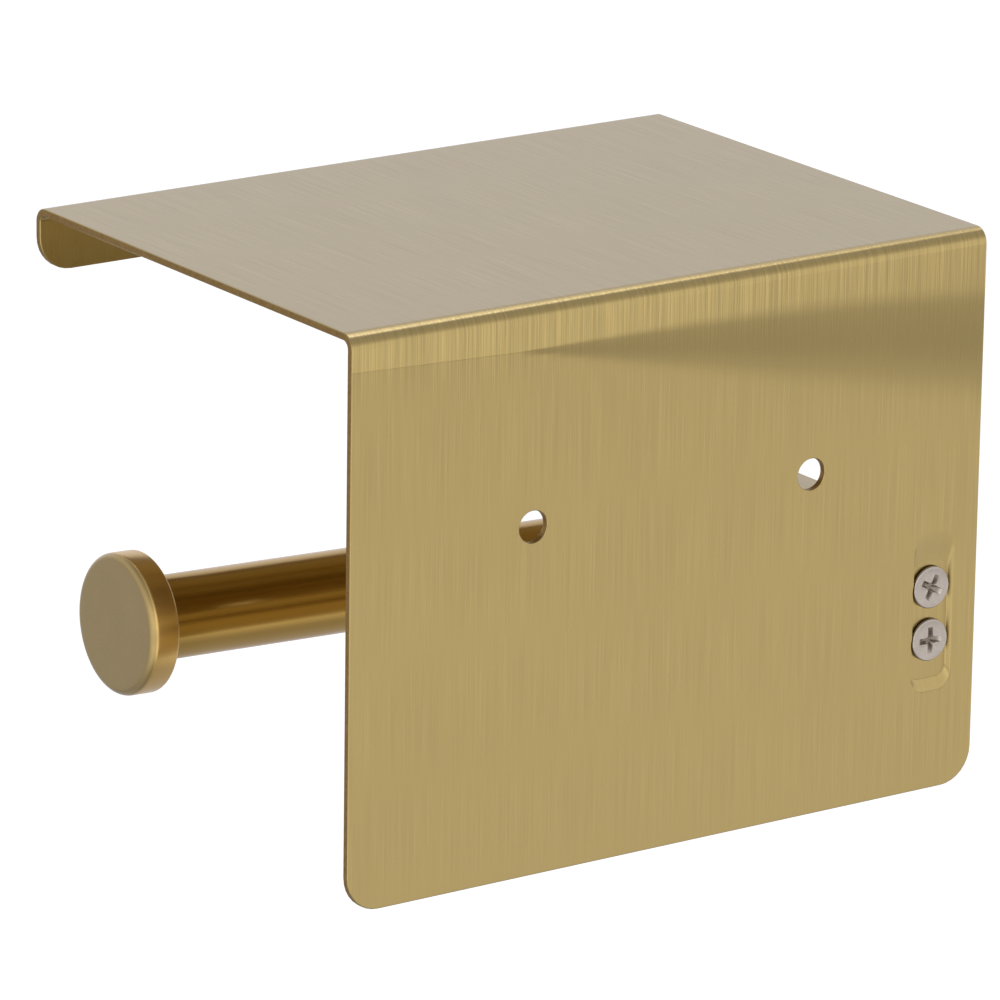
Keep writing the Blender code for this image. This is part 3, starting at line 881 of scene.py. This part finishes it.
brass_cap.data.materials.append(blasted_brass_plating(
    "blasted_brass_plated_cap", "#bca163", "#ab9158", 0.36, 0.8))
# Painted light: the side's two colours are lighter than the face's, to brighten it
brass_cap.data.materials.append(blasted_brass_plating(
    "satin_brass_cap_side_painted_light", "#e6c078", "#dcb56c", 0.3, 0.3))
# The side keeps more of the tool's polish than the two faces, and its plating is drawn in a lighter colour
# than the face's: painted light that brightens the side
for face in brass_cap.data.polygons:
    face.material_index = int(abs(face.normal.x) < 0.35)
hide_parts("end_cap")
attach(brass_cap, "root")


# ---------------------------------------------------------------- hidden steel parts
# Two plugs turned from free-cutting steel and pressed into the tube, the stud that joins the
# cap to one of them, and the countersunk socket screw that pulls the other against the arm.


def turned_steel(name, light, dark):
    """Bare turned steel: tool rings round the axis, drawn 0.4 mm apart, coarser than real ones."""
    material, tree, shader = new_material(name)
    place = add(tree, "ShaderNodeTexCoord").outputs["Object"]
    per_metre = (1 / (0.4 * MM), 1 / (6 * MM), 1 / (6 * MM))
    scaled = add(tree, "ShaderNodeVectorMath", {0: place, 1: per_metre}, operation="MULTIPLY").outputs[0]
    rings = add(tree, "ShaderNodeTexNoise", {"Vector": scaled, "Scale": 1, "Detail": 3}).outputs["Fac"]
    colour = add(tree, "ShaderNodeMix", {0: rings, 6: linear(dark), 7: linear(light)}, data_type="RGBA")
    rough = add(tree, "ShaderNodeMapRange", {
        "Value": rings, "From Min": 0.3, "From Max": 0.7, "To Min": 0.28, "To Max": 0.44,
    })
    bump = add(tree, "ShaderNodeBump", {"Height": rings, "Strength": 0.3, "Distance": 0.05 * MM})
    tree.links.new(colour.outputs[2], shader.inputs["Base Color"])
    tree.links.new(rough.outputs["Result"], shader.inputs["Roughness"])
    tree.links.new(bump.outputs["Normal"], shader.inputs["Normal"])
    shader.inputs["Metallic"].default_value = 1
    return material


steel = turned_steel("turned_free_cutting_steel", "#b9b7b2", "#8f8d89")
for node in ("root_insert", "tip_insert", "cap_stud"):
    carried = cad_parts[node]
    carried.data.materials.clear()
    carried.data.materials.append(steel)

FIXING_END = 10 * MM
FIXING_PITCH = 0.8 * MM
FIXING_TURNS = 12
HEX_CORNER = 1.5 * MM / cos(pi / 6)
HEX_DEPTH = 1.6 * MM
top = -ARM_THICKNESS + 2 * CLEARANCE
fixing = [(top, 0), (top, FIXING_HEAD - 0.5 * MM), (top + 0.12 * MM, FIXING_HEAD - 0.12 * MM)]
fixing += [(top + 0.3 * MM, FIXING_HEAD), (top + FIXING_CONE + 0.3 * MM, FIXING_SHANK)]
for k in range(FIXING_TURNS):
    start = top + FIXING_CONE + 1.2 * MM + k * FIXING_PITCH
    fixing += [(start, FIXING_SHANK - 0.4 * MM)]
    fixing += [(start + 0.35 * MM, FIXING_SHANK), (start + 0.45 * MM, FIXING_SHANK)]
fixing += [(FIXING_END - MM, FIXING_SHANK - 0.5 * MM), (FIXING_END, FIXING_SHANK / 2), (FIXING_END, 0)]
fixing_screw = finish_mesh("brass_fixing_screw", turned(fixing, steps=64))
fixing_screw.matrix_world = along_bar
hexagon = turned([
    (top - MM, 0), (top - MM, HEX_CORNER), (top + HEX_DEPTH, HEX_CORNER), (top + HEX_DEPTH + 0.6 * MM, 0)
], steps=6)
cut(fixing_screw, helper("hexagon", hexagon, along_bar))
round_edges(fixing_screw, 0.08 * MM, 2, 30)
bake_modifiers(fixing_screw)
fixing_screw.data.materials.append(satin_brass_plating(
    "satin_brass_plated_screw", "#b99f5e", "#a38746", 0.25, 0.3))
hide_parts("bar_fixing_screw")
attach(fixing_screw, "root")


# ---------------------------------------------------------------- studio
# Wide white table well below the holder, in a pale room. The metal sees the room alone: a lit
# surround up to head height, a dim ceiling, and a strip of shade where the table ends.

TABLE_DROP = 0.42
TABLE_HALF = 30
table = bmesh.new()
bmesh.ops.create_grid(table, x_segments=8, y_segments=8, size=TABLE_HALF)
white_table = finish_mesh("white_table", table)
white_table.location = (0, 0, -TABLE_DROP)
white_table.visible_glossy = False
paper, tree, shader = new_material("matt_white_paper")
fibres = add(tree, "ShaderNodeTexNoise", {"Scale": 40, "Detail": 3})
tone = add(tree, "ShaderNodeMix", {
    0: fibres.outputs["Fac"], 6: linear("#f4f4f3"), 7: linear("#f7f7f6"),
}, data_type="RGBA")
tree.links.new(tone.outputs[2], shader.inputs["Base Color"])
tree.links.new(tone.outputs[2], shader.inputs["Emission Color"])
shader.inputs["Emission Strength"].default_value = 0.45
shader.inputs["Roughness"].default_value = 0.9
white_table.data.materials.append(paper)

room = bpy.data.worlds.new("pale_room")
room.use_nodes = True
tree = room.node_tree
gaze = add(tree, "ShaderNodeTexCoord").outputs["Generated"]
sides = add(tree, "ShaderNodeSeparateXYZ", {0: gaze})
height = add(tree, "ShaderNodeMapRange", {
    "Value": sides.outputs["Z"], "From Min": -1, "From Max": 1,
}).outputs["Result"]
walls = []
for stops in (
    # Wall side, from the table below the holder up to the ceiling: sine of the height, brightness
    ((-1, 0.36), (-0.78, 0.42), (-0.66, 0.72), (-0.56, 1.02), (-0.4, 0.96), (-0.31, 1.04), (-0.245, 1.42),
     (-0.21, 0.4), (-0.11, 0.4), (-0.085, 0.95), (-0.04, 1.05), (0, 1.22), (0.05, 1.28), (0.15, 1.05),
     (0.25, 1.1), (0.45, 1.15), (0.6, 0.65), (0.75, 0.55), (1, 0.5)),
    # Room side
    ((-1, 0.42), (-0.6, 0.62), (-0.3, 0.95), (0.05, 0.86), (0.5, 0.8), (0.74, 0.75), (0.86, 0.4), (1, 0.4)),
):
    ramp = add(tree, "ShaderNodeValToRGB", {0: height})
    points = ramp.color_ramp.elements
    for position, _ in stops[1:-1]:
        points.new((position + 1) / 2)
    for point, (_, level) in zip(points, stops):
        point.color = (level / 2, level / 2, level / 2, 1)
    walls.append(ramp.outputs["Color"])
wall_side = add(tree, "ShaderNodeMapRange", {
    "Value": sides.outputs["Y"], "From Min": -0.1, "From Max": 0.4,
}, interpolation_type="SMOOTHSTEP").outputs["Result"]
cool = add(tree, "ShaderNodeMix", {0: 1, 6: walls[1], 7: (0.98, 1, 1.1, 1)}, data_type="RGBA",
           blend_type="MULTIPLY").outputs[2]
level = add(tree, "ShaderNodeMix", {0: wall_side, 6: cool, 7: walls[0]}, data_type="RGBA").outputs[2]
# The free end of the bar faces a dimmer part of the room, and a window lights the far corner
for towards, start, end, gain in (
    ((0.55, -0.8, -0.25), 0.75, 0.95, 0.62), ((0.7, 0.65, -0.25), 0.6, 0.9, 1.3)
):
    near = add(tree, "ShaderNodeVectorMath", {0: gaze, 1: Vector(towards).normalized()},
               operation="DOT_PRODUCT").outputs["Value"]
    scale = add(tree, "ShaderNodeMapRange", {
        "Value": near, "From Min": start, "From Max": end, "To Min": 1, "To Max": gain,
    }, interpolation_type="SMOOTHSTEP").outputs["Result"]
    level = add(tree, "ShaderNodeVectorMath", {0: level, "Scale": scale}, operation="SCALE").outputs[0]
surround = tree.nodes["Background"]
# Beyond the table the room itself shows as plain white
direct = add(tree, "ShaderNodeLightPath").outputs["Is Camera Ray"]
shown = add(tree, "ShaderNodeMix", {0: direct, 6: level, 7: (1, 1, 1, 1)}, data_type="RGBA").outputs[2]
tree.links.new(shown, surround.inputs["Color"])
surround.inputs["Strength"].default_value = 2
bpy.context.scene.world = room
bpy.context.scene.view_settings.view_transform = "Standard"


def soft_panel(name, place, size, power, colour="#ffffff"):
    """Area light aimed at the holder, seen only in reflections."""
    light = bpy.data.lights.new(name, "AREA")
    light.shape = "RECTANGLE"
    light.size, light.size_y = size
    light.energy = power
    light.color = linear(colour)[:3]
    panel = bpy.data.objects.new(name, light)
    panel.location = place
    panel.rotation_euler = (-Vector(place)).to_track_quat("-Z", "Y").to_euler()
    panel.visible_camera = False
    bpy.context.scene.collection.objects.link(panel)


soft_panel("overhead_panel", (-0.42, -0.36, 1.08), (0.6, 0.26), 2.1, "#f6f8ff")

# Camera: behind the wall side, a little above, with a long lens
AZIMUTH = radians(145.070)
ELEVATION = radians(16.790)
ROLL = radians(0.856)
DISTANCE = 1.4429
ASIDE, RAISED = -6.669 * MM, 1.502 * MM
aim = Vector((0, -0.045, -0.013))
back = Vector((sin(AZIMUTH) * cos(ELEVATION), -cos(AZIMUTH) * cos(ELEVATION), sin(ELEVATION)))
right = Vector((cos(AZIMUTH), sin(AZIMUTH), 0))
up = back.cross(right)
tilted_right = right * cos(ROLL) + up * sin(ROLL)
tilted_up = up * cos(ROLL) - right * sin(ROLL)
camera = bpy.data.objects.new("camera", bpy.data.cameras.new("camera"))
camera.data.sensor_width = 36
camera.data.lens = 271.2
camera.data.clip_end = 100
rotation = Matrix((tilted_right, tilted_up, back)).transposed().to_4x4()
place = aim + tilted_right * ASIDE + tilted_up * RAISED + back * DISTANCE
camera.matrix_world = Matrix.Translation(place) @ rotation
bpy.context.scene.collection.objects.link(camera)
bpy.context.scene.camera = camera
